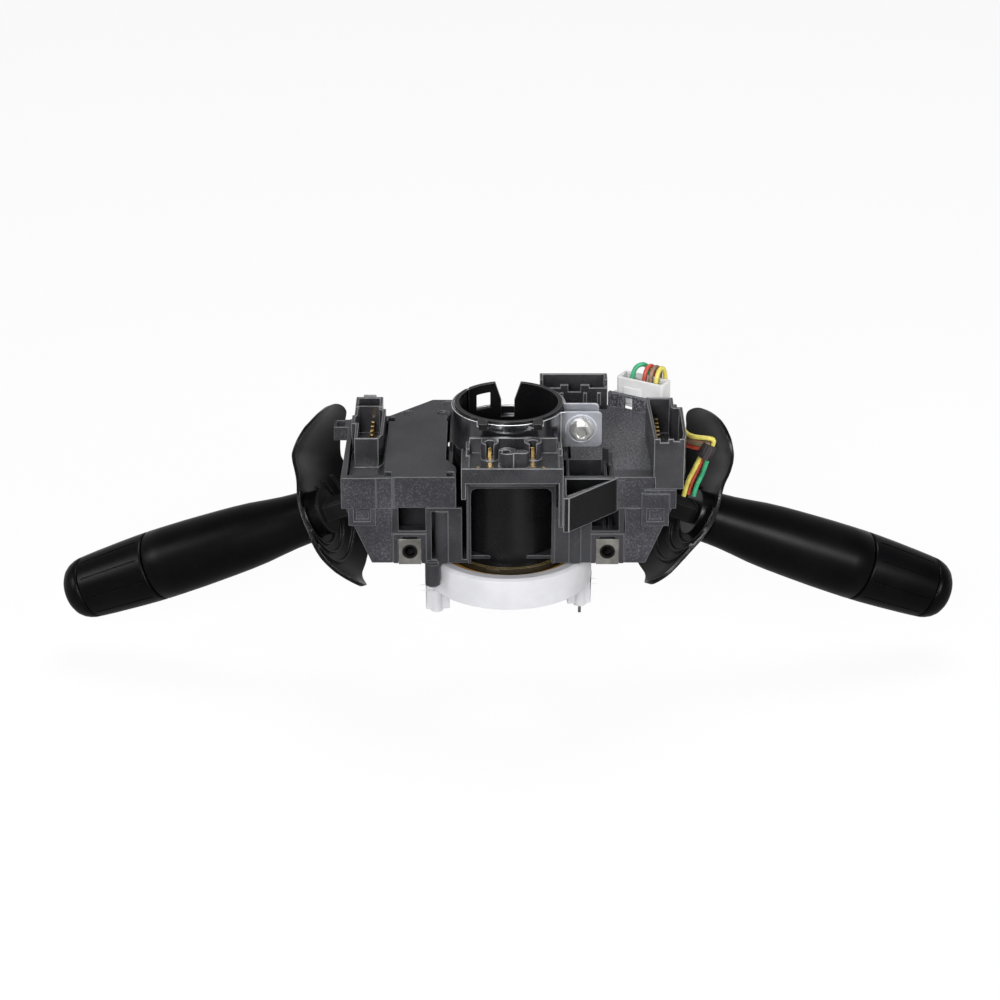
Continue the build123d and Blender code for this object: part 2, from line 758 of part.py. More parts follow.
def leftHeaderPins():
    front = [y for y in leftPinY if y < 33]
    return group(pinField((leftPinX,), front, boardZ + boardT, leftHeaderFloor + 9, 1.5))


rightHeaderFloor = 46.0


def rightHeader():
    plan = [
        (64.8, frontY - 1.1), (78.4, frontY - 1.1), (79.4, -22.0), (79.4, 9.0), (75.6, 9.0),
        (75.6, 20.4), (63.2, 20.4),
    ]
    top = headerBox(plan, plateZ + 0.1, 64.3, rightHeaderFloor + 1)
    front = box(65.5, 78.4, frontY - 1.1, frontY + 2.9, 40.0, plateZ + 0.2)
    foot = box(65.6, 75.2, frontY + 2.8, 20.8, boardZ + boardT, plateZ + 0.2)
    notch = box(67.5, 71.0, frontY - 3, frontY + 1.4, 62.6, 66)
    notch += box(73.5, 76.0, frontY - 3, frontY + 1.4, 63.2, 66)
    rail = box(75.6, 77.4, 12.0, 18.0, 50, 62)
    body = top + front + foot + rail - notch
    for pin in rightHeaderPins().solids():
        body -= pin
    return body


def rightHeaderPins():
    ys = [-22.0 + 4.6 * i for i in range(9)]
    return group(pinField((67.9,), ys, boardZ + boardT, rightHeaderFloor + 10, 1.5))


def rearHeader():
    body = box(15.0, 47.0, 56.0, 66.0, 26.0, 58.0)
    body -= box(16.4, 45.6, 57.6, 64.6, 40.0, 59.0)
    # keyed front wall
    body -= box(14, 24.6, 55, 57.7, 54.4, 59)
    body -= box(24.6, 28.4, 55, 57.7, 56.0, 59)
    body -= box(28.4, 34.2, 55, 57.7, 52.4, 59)
    body -= box(34.2, 38.4, 55, 57.7, 56.0, 59)
    body -= box(38.4, 48, 55, 57.7, 54.4, 59)
    for x in (19.0, 25.2, 36.4, 43.0):
        body += box(x - 0.7, x + 0.7, 55.4, 56.1, 46.0, 52)
    for pin in rearHeaderPins().solids():
        body -= pin
    return body


def rearHeaderPins():
    return group(pinField([18.6 + 3.1 * i for i in range(9)], (59.6, 62.6), 36.0, 47.0, 0.64))


shelfZ0, shelfZ1 = 52.2, 59.5
shelfX0, shelfX1 = -19.0, 23.6


def contactSocket():
    body = box(shelfX0, shelfX1, shelfY, frontY, shelfZ0, shelfZ1)
    body -= box(shelfX0 + 1.5, shelfX1 - 1.5, shelfY + 1.5, frontY - 1.6, shelfZ1 - 1.6, 70)
    body += box(shelfX0 + 1.5, shelfX1 - 2.0, frontY - 1.8, frontY - 0.1, 42.2, 65.2)
    body += box(shelfX0, shelfX0 + 1.6, frontY - 8.6, frontY - 0.1, shelfZ0, 63.0)
    body += box(shelfX1 - 1.6, shelfX1, frontY - 8.6, frontY - 0.1, shelfZ0, 63.0)
    # side legs beside the window
    body += box(shelfX0 - 2.0, shelfX0 + 0.1, shelfY, frontY, 44.5, shelfZ1)
    body += box(shelfX1 - 1.6, shelfX1 + 0.4, shelfY, frontY, 31.0, shelfZ1)
    hook = shelfZ1 - 1.7
    back = frontY - 3.6
    mid = shelfY + 7.4
    bosses = rod(-8.4, back - 3.6, 3.9, hook, 66.0) + box(-12.2, -4.5, back - 3.6, back, hook, 66.0)
    bosses += rod(10.6, back - 3.2, 3.9, hook, 66.0) + box(6.8, 14.4, back - 3.2, back, hook, 66.0)
    centre = rod(-0.6, mid, 4.0, hook, 65.0) + box(-0.6, 6.6, mid - 3.0, mid + 1.2, hook, 65.0)
    bosses += centre + rod(6.6, mid - 0.9, 2.1, hook, 65.0)
    for x, y in ((-8.4, back - 4.4), (10.6, back - 3.9), (-1.6, mid - 1.0)):
        bosses -= rod(x, y, 2.1, hook + 0.6, 67)
    bosses -= box(-10.0, -6.8, back - 9, back - 4, hook + 0.6, 67)
    bosses -= box(9.2, 12.0, back - 9, back - 4, hook + 0.6, 67)
    bosses -= box(-5.5, -1.6, mid - 2.4, mid + 0.6, hook + 0.6, 67)
    return body + bosses


def socketContacts():
    floor = shelfZ1 - 1.1
    spots = ((-8.4, frontY - 8.0), (10.6, frontY - 7.5), (-1.6, shelfY + 6.6))
    pins = [box(x - 0.8, x + 0.8, y - 0.3, y + 0.3, floor, 63.2) for x, y in spots]
    rivets = [rod(x, shelfY + 3.4, 0.9, shelfZ1 - 1.6, shelfZ1 - 0.6) for x in (-13.4, 15.2)]
    return group(pins + rivets)


chuteZ0, chuteZ1 = 28.6, 45.2


def cableChute():
    outer = [(24.1, shelfY), (26.6, shelfY), (49.0, frontY - 0.1), (24.1, frontY - 0.1)]
    inner = [(25.6, shelfY + 3.2), (46.4, frontY - 1.4), (25.6, frontY - 1.4)]
    body = prism(outer, chuteZ0, chuteZ1) - prism(inner, chuteZ0 + 1.6, chuteZ1 + 1)
    return body


# ---------------------------------------------------------------- harness

plugAngle = -31.0
plugCentre = (64.0, 54.8)
plugZ0, plugZ1 = 46.0, 60.0
wireNames = ("green", "red", "brown", "yellow")
tapeR = 2.9


def onPlug(along, out, z):
    a = radians(plugAngle)
    x = plugCentre[0] + along * cos(a) - out * sin(a)
    y = plugCentre[1] + along * sin(a) + out * cos(a)
    return (x, y, z)


def tapeWrap():
    start = Vector(*tapeStart)
    run = Vector(*tapeEnd) - start
    face = Plane(origin=start, z_dir=run) * Circle(tapeR)
    return extrude(face, run.length)


def wirePlug():
    body = Box(24.6, 9.4, plugZ1 - plugZ0)
    body = fillet(body.edges().filter_by(Axis.Z), 1.6)
    body -= Pos(0, 0, 5.5) * Box(21.6, 6.2, 6)
    for slot in pinSlots:
        body -= Pos(slot * plugPitch, 0, 2.4) * Cylinder(wireD / 2 + runFit, 2)
    body += Pos(-3.5, -4.9, -1.2) * Box(9.0, 0.8, 8.0)
    body += Pos(-14.2, 0, -4.0) * Box(4.2, 4.0, 2.0)
    return Pos(*plugCentre, (plugZ0 + plugZ1) / 2) * Rot(0, 0, plugAngle) * body


tapeStart = (93.6, 21.4, 39.6)
tapeEnd = (91.2, 21.4, 34.5)


def softPath(points, label):
    """Straight runs joined by the largest arcs that fit, with the radii printed."""
    vectors = [Vector(*p) for p in points]
    radii = []
    for a, b, c in zip(vectors, vectors[1:], vectors[2:]):
        turn = radians((b - a).get_angle(c - b))
        shorter = min((b - a).length, (c - b).length)
        radii.append(0.45 * shorter / tan(turn / 2))
    print(label, "radii", [round(r, 1) for r in radii])
    return FilletPolyline(*points, radius=radii)


def cordTube(points, r, label):
    path = softPath(points, label)
    section = Plane(origin=path @ 0, z_dir=path % 0) * Circle(r)
    body = sweep(section, path=path)
    ratio = body.volume / (pi * r * r * path.length)
    print(label, "length", round(path.length, 1), "volume ratio", round(ratio, 3))
    return body


wireGap = 2.8
plugPitch = 3.25
pinSlots = (-2, 0, 1, 2)      # plug cavities that carry a wire


def tapeAhead():
    return (Vector(*tapeEnd) - Vector(*tapeStart)).normalized()


def tapeSide():
    return tapeAhead().cross(Vector(0, 1, 0)).normalized()


def wireFromPlug(index):
    """Route of one wire from the plug, over its back and along the cover to the tape."""
    pin = pinSlots[index] * plugPitch
    lift = (index - 1.5) * wireGap
    a = radians(plugAngle)
    along = Vector(cos(a), sin(a), 0)
    up = Vector(0, 0, 1)
    row = 3.0 + lift * 0.95
    points = [
        onPlug(pin, 0.0, 54.5),
        onPlug(pin, 0.0, 64.6),
        onPlug(row, 8.2, 64.8),
        tuple(Vector(*onPlug(3.0, 8.4, 47.0)) + (along * 1.53 + up * 0.85) * (lift / 1.53)),
        tuple(Vector(80.4, 48.0, 39.6) + up * lift),
    ]
    behind = 0
    if index == 0:
        behind = 3.4
        lift = -1.8
    points += [
        (81.2 + behind, 34.0 + 0.1 * behind, 39.2 + lift),
        (84.0 + 0.8 * behind, 23.4 + 0.85 * behind, 39.2 + lift),
    ]
    if wireNames[index] == "yellow":
        # folds over and meets the end face of the tape squarely
        end = Vector(*tapeStart) + tapeSide() * 1.0
        return points + [(93.2, 21.6, 43.4), tuple(end - tapeAhead() * 3.4), tuple(end)]
    return points + [(93.6, 21.4 + 0.35 * behind, 39.2 + lift)]


def wireToStalk(index):
    """Route of one wire from the tape down towards the right lever, index from left to right."""
    across = (index - 1) * 1.7
    back = 1.4 if index == 1 else -0.6
    start = Vector(*tapeEnd) + tapeSide() * across + Vector(0, back, 0)
    spread = (index - 1) * 2.3
    return [
        tuple(start),
        (88.6 + 0.87 * spread, 20.4 + back, 27.4 - 0.5 * spread),
        (85.4 + 0.95 * spread, 18.9 + back, 21.8 - 0.3 * spread),
        (84.0 + spread, 17.6 + back, 15.9),
    ]


def keep(name, shape):
    parts[name] = shape


def asIs(shape):
    return shape


def onRightStalk(shape):
    return flip(onStalk(shape))


def build():
    keep("main_housing", mainHousing())
    keep("column_sleeve", sleeve())
    keep("clamp_band", clampBand())
    keep("clamp_bolt", clampBolt())
    keep("clamp_nut", clampNut())
    keep("shroud_nuts", group([shroudNut(-nutX), shroudNut(nutX)]))
    case = leftCase() + screwColumns(deckZ, partZ) - screwHoles()
    keep("left_case", case)
    keep("right_case", flip(case))
    inside = screwColumns(partZ, plateZ - wall + 0.1) + boardPosts()
    keep("left_cover", leftCover() + inside - screwHoles())
    keep("right_cover", rightCover() + flip(inside) - flip(screwHoles()))
    keep("case_screws", caseScrews())
    keep("left_board", board())
    keep("right_board", flip(board()))
    keep("left_header", leftHeader())
    keep("left_header_pins", leftHeaderPins())
    keep("right_header", rightHeader())
    keep("right_header_pins", rightHeaderPins())
    keep("rear_header", rearHeader())
    keep("rear_header_pins", rearHeaderPins())
    keep("contact_socket", contactSocket())
    keep("socket_contacts", socketContacts())
    keep("cable_chute", cableChute())
    keep("wire_plug", wirePlug())
    keep("spiral_rotor", spiralRotor())
    keep("rotor_hub", rotorHub())
    keep("drive_pin", drivePin())
    keep("ribbon_cable", ribbon())
    keep("left_detent_track", detentTrack())
    keep("right_detent_track", flip(detentTrack()))
    sides = (
        ("left", shieldRise, shieldBack, shieldR, onStalk, asIs),
        ("right", 6.5, 5.7, 57.6, onRightStalk, flip),
    )
    for side, rise, back, radius, place, turn in sides:
        keep(side + "_carrier", turn(carrier()))
        keep(side + "_contact_leaf", turn(contactLeaf()))
        keep(side + "_cross_pin", place(crossPin()))
        keep(side + "_lever", place(lever(rise, back, radius)))
        keep(side + "_shield", place(shield(rise, back, radius)))
        keep(side + "_stalk_shell", place(stalkShell(rise, back, radius)))
        keep(side + "_detent_plunger", place(plunger()))
        keep(side + "_detent_spring", place(spring()))
        keep(side + "_knob", place(knob()))
        keep(side + "_end_cap", place(endCap()))
        keep(side + "_knob_shaft", place(knobShaft()))
        keep(side + "_shaft_clip", place(shaftClip()))
    tape = tapeWrap()
    keep("harness_tape", tape)
    toStalk = {"yellow": 0, "red": 1, "green": 2}
    for index, colour in enumerate(wireNames):
        upper = cordTube(wireFromPlug(index), wireD / 2, colour)
        pieces = [upper if colour == "yellow" else upper - tape]
        if colour in toStalk:
            lower = cordTube(wireToStalk(toStalk[colour]), wireD / 2, colour + " to stalk")
            pieces.append(lower - tape)
        keep("wire_" + colour, group(pieces))


build()
os.makedirs("parts", exist_ok=True)
for name, shape in parts.items():
    export_step(shape, "parts/" + name + ".step")
print(len(parts), "nodes")
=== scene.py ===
import json
from math import cos, pi, radians, sin

import bmesh
import bpy
from mathutils import Matrix, Vector


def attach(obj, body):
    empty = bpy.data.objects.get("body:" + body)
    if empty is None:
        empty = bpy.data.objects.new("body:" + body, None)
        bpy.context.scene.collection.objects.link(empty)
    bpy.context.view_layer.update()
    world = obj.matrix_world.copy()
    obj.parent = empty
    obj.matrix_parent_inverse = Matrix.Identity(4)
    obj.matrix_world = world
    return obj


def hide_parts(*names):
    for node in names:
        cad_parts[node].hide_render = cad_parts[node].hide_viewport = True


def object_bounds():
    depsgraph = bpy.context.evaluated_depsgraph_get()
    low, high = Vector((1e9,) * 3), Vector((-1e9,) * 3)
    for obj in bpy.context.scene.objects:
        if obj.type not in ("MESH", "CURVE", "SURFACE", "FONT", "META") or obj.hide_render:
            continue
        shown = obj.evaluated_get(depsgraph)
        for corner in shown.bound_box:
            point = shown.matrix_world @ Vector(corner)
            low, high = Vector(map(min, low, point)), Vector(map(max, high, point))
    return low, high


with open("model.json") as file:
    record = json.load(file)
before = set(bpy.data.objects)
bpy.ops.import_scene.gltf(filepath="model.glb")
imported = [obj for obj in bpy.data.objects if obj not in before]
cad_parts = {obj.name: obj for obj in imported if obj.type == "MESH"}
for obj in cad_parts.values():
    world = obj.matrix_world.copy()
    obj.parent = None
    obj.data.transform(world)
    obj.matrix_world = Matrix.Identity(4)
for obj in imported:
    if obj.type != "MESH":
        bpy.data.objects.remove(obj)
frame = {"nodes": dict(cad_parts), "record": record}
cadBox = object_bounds()
nodes = frame["nodes"]
scene = bpy.context.scene
mm = 0.001

# Camera and lamps. The view is in mm and degrees, the lamps and the floor are in metres.

view = {
    "target": (-3.9, 0.0, 21.7), "rise": 24.5, "away": 1300.0,
    "lens": 101.74, "sensor": 36, "reach": 20000.0,
}

cameraData = bpy.data.cameras.new("camera")
cameraData.lens = view["lens"]
cameraData.sensor_width = view["sensor"]
cameraData.clip_end = view["reach"] * mm
camera = bpy.data.objects.new("camera", cameraData)
scene.collection.objects.link(camera)
outward = Vector((0, -cos(radians(view["rise"])), sin(radians(view["rise"]))))
camera.location = Vector(view["target"]) * mm + outward * view["away"] * mm
camera.rotation_euler = (-outward).to_track_quat("-Z", "Y").to_euler()
scene.camera = camera
scene.view_settings.view_transform = "Standard"

lampPlan = {
    "frontSoft": {"at": (-0.25, -1.25, 0.60), "size": 0.5, "power": 17.0},
    "topSoft": {"at": (0.10, 0.25, 1.35), "size": 0.8, "power": 10.5},
    "rightSoft": {"at": (0.85, -0.85, 0.40), "size": 0.4, "power": 9.0},
    "leftSoft": {"at": (-1.15, -0.25, 0.40), "size": 0.4, "power": 4.5},
}
litPoint = Vector((0, 0, 0.02))

for name, lamp in lampPlan.items():
    lampData = bpy.data.lights.new(name, "AREA")
    lampData.shape = "DISK"
    lampData.size = lamp["size"]
    lampData.energy = lamp["power"]
    lampObject = bpy.data.objects.new(name, lampData)
    lampObject.location = lamp["at"]
    lampObject.rotation_euler = (litPoint - Vector(lamp["at"])).to_track_quat("-Z", "Y").to_euler()
    scene.collection.objects.link(lampObject)
print("camera and lamps", 1 + len(lampPlan))


class Link:                                    # a socket that can stand in a sum
    def __init__(self, shading, socket):
        self.shading = shading
        self.socket = socket

    def math(self, operation, *values):        # on the values, or on this socket if none are given
        inputs = dict(enumerate(values or (self,)))
        return self.shading.node("ShaderNodeMath", {"operation": operation}, inputs)

    def __add__(self, other):
        return self.math("ADD", self, other)

    __radd__ = __add__

    def __mul__(self, other):
        return self.math("MULTIPLY", self, other)

    __rmul__ = __mul__

    def __sub__(self, other):
        return self.math("SUBTRACT", self, other)

    def __rsub__(self, other):
        return self.math("SUBTRACT", other, self)

    def over(self, low, high):                 # 0 under low, 1 above high
        return self.shading.node(
            "ShaderNodeMapRange", {"clamp": True},
            {"Value": self, "From Min": low, "From Max": high})

    def overMm(self, low, high):               # the same, with low and high in mm
        return self.over(low * mm, high * mm)

    def blend(self, first, second):            # first where 0, second where 1
        return self.shading.node(
            "ShaderNodeMix", {"data_type": "RGBA"},
            {"Factor": self, 6: colour(first), 7: colour(second)}, 2)


def colour(value):
    return value if isinstance(value, Link) else (*value, 1.0)


class Shading:                                 # the nodes of a material or of the world
    def __init__(self, owner):
        owner.use_nodes = True
        self.owner = owner
        self.tree = owner.node_tree

    def put(self, socket, value):
        if isinstance(value, Link):
            self.tree.links.new(value.socket, socket)
        else:
            socket.default_value = value

    def node(self, kind, settings, sockets, out=0):
        made = self.tree.nodes.new(kind)
        for key, value in settings.items():
            setattr(made, key, value)
        for key, value in sockets.items():
            self.put(made.inputs[key], value)
        return Link(self, made.outputs[out])

    def ray(self, kind):
        return self.node("ShaderNodeLightPath", {}, {}, "Is " + kind + " Ray")


class Finish(Shading):
    def __init__(self, name):
        super().__init__(bpy.data.materials.new(name))
        self.shader = self.tree.nodes["Principled BSDF"]
        self.place = self.node("ShaderNodeTexCoord", {}, {}, "Object")

    def noise(self, size, detail=3.0, rough=0.55, squash=None):
        where = self.place
        if squash:
            where = self.node("ShaderNodeMapping", {}, {"Vector": self.place, "Scale": squash})
        return self.node(
            "ShaderNodeTexNoise", {},
            {"Vector": where, "Scale": 1 / (size * mm), "Detail": detail, "Roughness": rough})

    def cells(self, size):
        return self.node(
            "ShaderNodeTexVoronoi", {"feature": "F1"},
            {"Vector": self.place, "Scale": 1 / (size * mm)})

    def bands(self, direction, scale, distortion=0.0, detail=2.0):
        return self.node(
            "ShaderNodeTexWave", {"bands_direction": direction},
            {"Vector": self.place, "Scale": scale, "Distortion": distortion, "Detail": detail})

    def eased(self):                           # 1 on the rounded edges, see easeEdges; the finishes paint a highlight there
        return self.node("ShaderNodeAttribute", {"attribute_name": "eased"}, {}, "Fac")

    def axis(self, letter):
        return self.node("ShaderNodeSeparateXYZ", {}, {0: self.place}, letter)

    def across(self):                          # distance from the middle plane
        return self.axis("X").math("ABSOLUTE")

    def bump(self, height, depth):
        return self.node(
            "ShaderNodeBump", {},
            {"Height": height, "Distance": depth * mm, "Strength": 1.0})

    def surface(self, values):
        for key, value in values.items():
            self.put(self.shader.inputs[key], value)
        return self.owner


# The right stalk: the point it lifts about, and its own three axes. The left one is its mirror image.
stalkPlan = {
    "pivot": (47 * mm, 20 * mm, 20.5 * mm),
    "across": (-0.20791, 0.97815, 0.0),
    "down": (-0.38997, -0.08289, -0.91706),
    "along": (0.89702, 0.19067, -0.39875),
}
# The painted shade round the root of a lever, where it meets its shield, which is also made rougher: how far
# along it and how far round it, each with a short fade, in mm.
rootShadePlan = {"length": (42.5, 43.5), "radius": (12.0, 12.8), "tint": (0.0015, 0.0015, 0.0015), "rough": 0.5}


def stalkRootShade(made):                       # 1 on the root of either lever, where shade is painted
    x = made.across() - stalkPlan["pivot"][0]
    y = made.axis("Y") - stalkPlan["pivot"][1]
    z = made.axis("Z") - stalkPlan["pivot"][2]
    ahead = x * stalkPlan["along"][0] + y * stalkPlan["along"][1] + z * stalkPlan["along"][2]
    aside = (x * x + y * y + z * z - ahead * ahead).math("SQRT")
    return (1 - aside.overMm(*rootShadePlan["radius"])) * (1 - ahead.overMm(*rootShadePlan["length"]))


def mouldedPlastic(name, plan):
    made = Finish(name)
    grain = made.noise(plan["grain"], detail=4.0, rough=0.65)
    pits = made.cells(plan["grain"] * 1.6)
    cloud = made.noise(26.0)
    scuffs = made.noise(3.2, detail=5.0, rough=0.7, squash=(1.0, 0.25, 1.0)).over(0.60, 0.72)
    # light grain specks, gathered in patches by the cloud as a painted sheen
    speck = made.noise(plan["grain"] * 1.5, detail=2.0, rough=0.6).over(0.50, 0.70)
    speck = speck * (cloud.over(0.35, 0.6) * 0.7 + 0.3)
    mixed = cloud.over(0.3, 0.7).blend(plan["dark"], plan["light"])
    mixed = (speck * plan["speck"]).blend(mixed, plan["wornAndSheen"])
    if "deck" in plan:                         # the open deck right of the clamp is gritty, its light grit also a painted sheen
        deck = plan["deck"]
        gritAndSheen = made.noise(deck["gritAndSheen"], detail=1.0, rough=0.5).over(0.50, 0.60)
        onDeck = made.axis("X").overMm(*deck["x"]) * made.axis("Y").overMm(*deck["y"])
        # painted sheen: light grit on the deck
        mixed = (onDeck * gritAndSheen * deck["share"]).blend(mixed, plan["wornAndSheen"])
    mixed = (scuffs * plan["scuff"]).blend(mixed, plan["wornAndSheen"])
    rough = grain * 0.16 + cloud * 0.14 + scuffs * 0.08 + plan["rough"]
    # how strongly the painted highlight on the rounded edges shows
    edge = plan["edge"]
    if "chute" in plan:                        # painted shade: the cable chute beside the window is darkened nearly to black
        chute = plan["chute"]
        chuteShade = made.axis("X").overMm(*chute["left"]) * (1 - made.axis("X").overMm(*chute["right"]))
        chuteShade = chuteShade * (1 - made.axis("Y").overMm(*chute["back"]))
        mixed = chuteShade.blend(mixed, chute["tint"])
    if "shields" in plan:                      # the ball shields and levers are blacker mouldings
        shields = plan["shields"]
        beyond = made.across().overMm(*shields["beyond"])
        mixed = beyond.blend(mixed, (speck * 0.1).blend(shields["tint"], plan["dark"]))
        # the shields get a weaker painted edge highlight
        edge = (1 - beyond * 0.85) * plan["edge"]
        # painted shade: the lever roots are darkened, and made rougher
        rootShade = stalkRootShade(made)
        mixed = rootShade.blend(mixed, rootShadePlan["tint"])
        rough = rough + rootShade * rootShadePlan["rough"]
    # painted highlight: the rounded edges are lightened towards the rim colour
    mixed = (made.eased() * edge).blend(mixed, plan["rim"])
    return made.surface({
        "Base Color": mixed,
        "Roughness": rough,
        "Normal": made.bump(grain + pits * 0.6, plan["depth"]),
        "Specular IOR Level": plan["shine"],
    })


def platedMetal(name, plan):
    made = Finish(name)
    drawn = made.noise(0.9, detail=4.0, rough=0.6, squash=plan["along"])
    spangle = made.cells(1.7)
    stain = made.noise(9.0, detail=4.0, rough=0.6)
    stained = stain.over(0.35, 0.7)
    mixed = stained.blend(plan["bright"], plan["dull"])
    mixed = (drawn.over(0.5, 0.8) * 0.35).blend(mixed, plan["dull"])
    rough = drawn * 0.14 + stain * 0.1 + plan["rough"]
    if "holeShade" in plan:                       # a darker, rougher ring round the hole: painted shade that widens its dark opening
        holeShade = plan["holeShade"]
        x = made.across() - holeShade["x"] * mm
        z = made.axis("Z") - holeShade["z"] * mm
        ring = 1 - (x * x + z * z).over(*((radius * mm) ** 2 for radius in holeShade["radius"]))
        mixed = ring.blend(mixed, holeShade["holeShadeTint"])
        rough = rough + ring * 0.3
    if "ear" in plan:                          # a painted highlight on the rims, and flat ears less polished than the ring, which keep a light colour where the ring's is darkened
        ear = plan["ear"]
        onEar = made.axis("X").overMm(*ear["x"])
        mixed = made.eased().blend(mixed, ear["rim"])
        mixed = onEar.blend(mixed, stained.blend(ear["bright"], ear["dull"]))
        rough = rough + onEar * 0.2 + made.eased() * 0.25
    return made.surface({
        "Base Color": mixed,
        "Metallic": 1.0,
        "Roughness": rough,
        "Normal": made.bump(drawn + spangle * 0.3, plan.get("depth", 0.008)),
    })


def whiteNylon(name, plan):
    made = Finish(name)
    flow = made.noise(14.0, detail=4.0, rough=0.6)
    fine = made.noise(0.5)
    mixed = flow.over(0.3, 0.75).blend(plan["tint"], plan["deep"])
    if "coil" in plan:                         # painted shade inside the inner ring, with the ribbon's turns drawn on it and their edges a painted highlight
        coil = plan["coil"]
        x = made.axis("X")
        y = made.axis("Y")
        radius = (x * x + y * y).math("SQRT")
        # painted shade of the recess under the sleeve
        inside = (1 - radius.overMm(*coil["radius"])) * made.axis("Z").overMm(*coil["z"])
        ribbonTurnsAndGlints = (radius * (2 * pi / (coil["pitch"] * mm))).math("SINE").over(0.82, 0.95)
        mixed = inside.blend(mixed, ribbonTurnsAndGlints.blend(coil["dark"], coil["gold"]))
    return made.surface({
        "Base Color": mixed,
        "Roughness": fine * 0.16 + flow * 0.1 + 0.3,
        "Normal": made.bump(fine, 0.012),
        "Subsurface Weight": plan["soak"],
        "Subsurface Radius": (1.0, 0.95, 0.9),
        "Subsurface Scale": 0.003,
    })


def insulation(name, plan):
    made = Finish(name)
    fine = made.noise(0.35)
    patch = made.noise(4.0)
    return made.surface({
        "Base Color": patch.over(0.35, 0.7).blend(plan["tint"], plan["deep"]),
        "Roughness": fine * 0.15 + 0.34,
        "Normal": made.bump(fine, 0.02),
        "Subsurface Weight": 0.05,
    })


def clothTape(name, plan):
    made = Finish(name)
    warp = made.bands("DIAGONAL", plan["warp"], distortion=0.6, detail=1.0)
    weft = made.bands("Y", plan["weft"], distortion=0.6, detail=1.0)
    weave = warp * weft
    return made.surface({
        "Base Color": weave.blend(plan["dark"], plan["light"]),
        "Roughness": 0.85 - weave * 0.2,
        "Normal": made.bump(weave, 0.12),
    })


def amberFilm(name, plan):
    made = Finish(name)
    lines = made.bands("Z", plan["lines"])
    cloud = made.noise(8.0)
    mixed = lines.over(0.4, 0.7).blend(plan["dark"], plan["light"])
    return made.surface({
        "Base Color": (cloud * 0.5).blend(mixed, plan["smear"]),
        "Roughness": cloud * 0.2 + 0.12,
        "Normal": made.bump(lines, 0.03),
    })


def circuitBoard(name, plan):
    made = Finish(name)
    copper = made.cells(plan["track"]).over(0.35, 0.38)
    cloud = made.noise(6.0)
    return made.surface({
        "Base Color": copper.blend(plan["mask"], plan["copper"]),
        "Roughness": cloud * 0.2 + 0.25,
        "Normal": made.bump(copper, 0.03),
    })


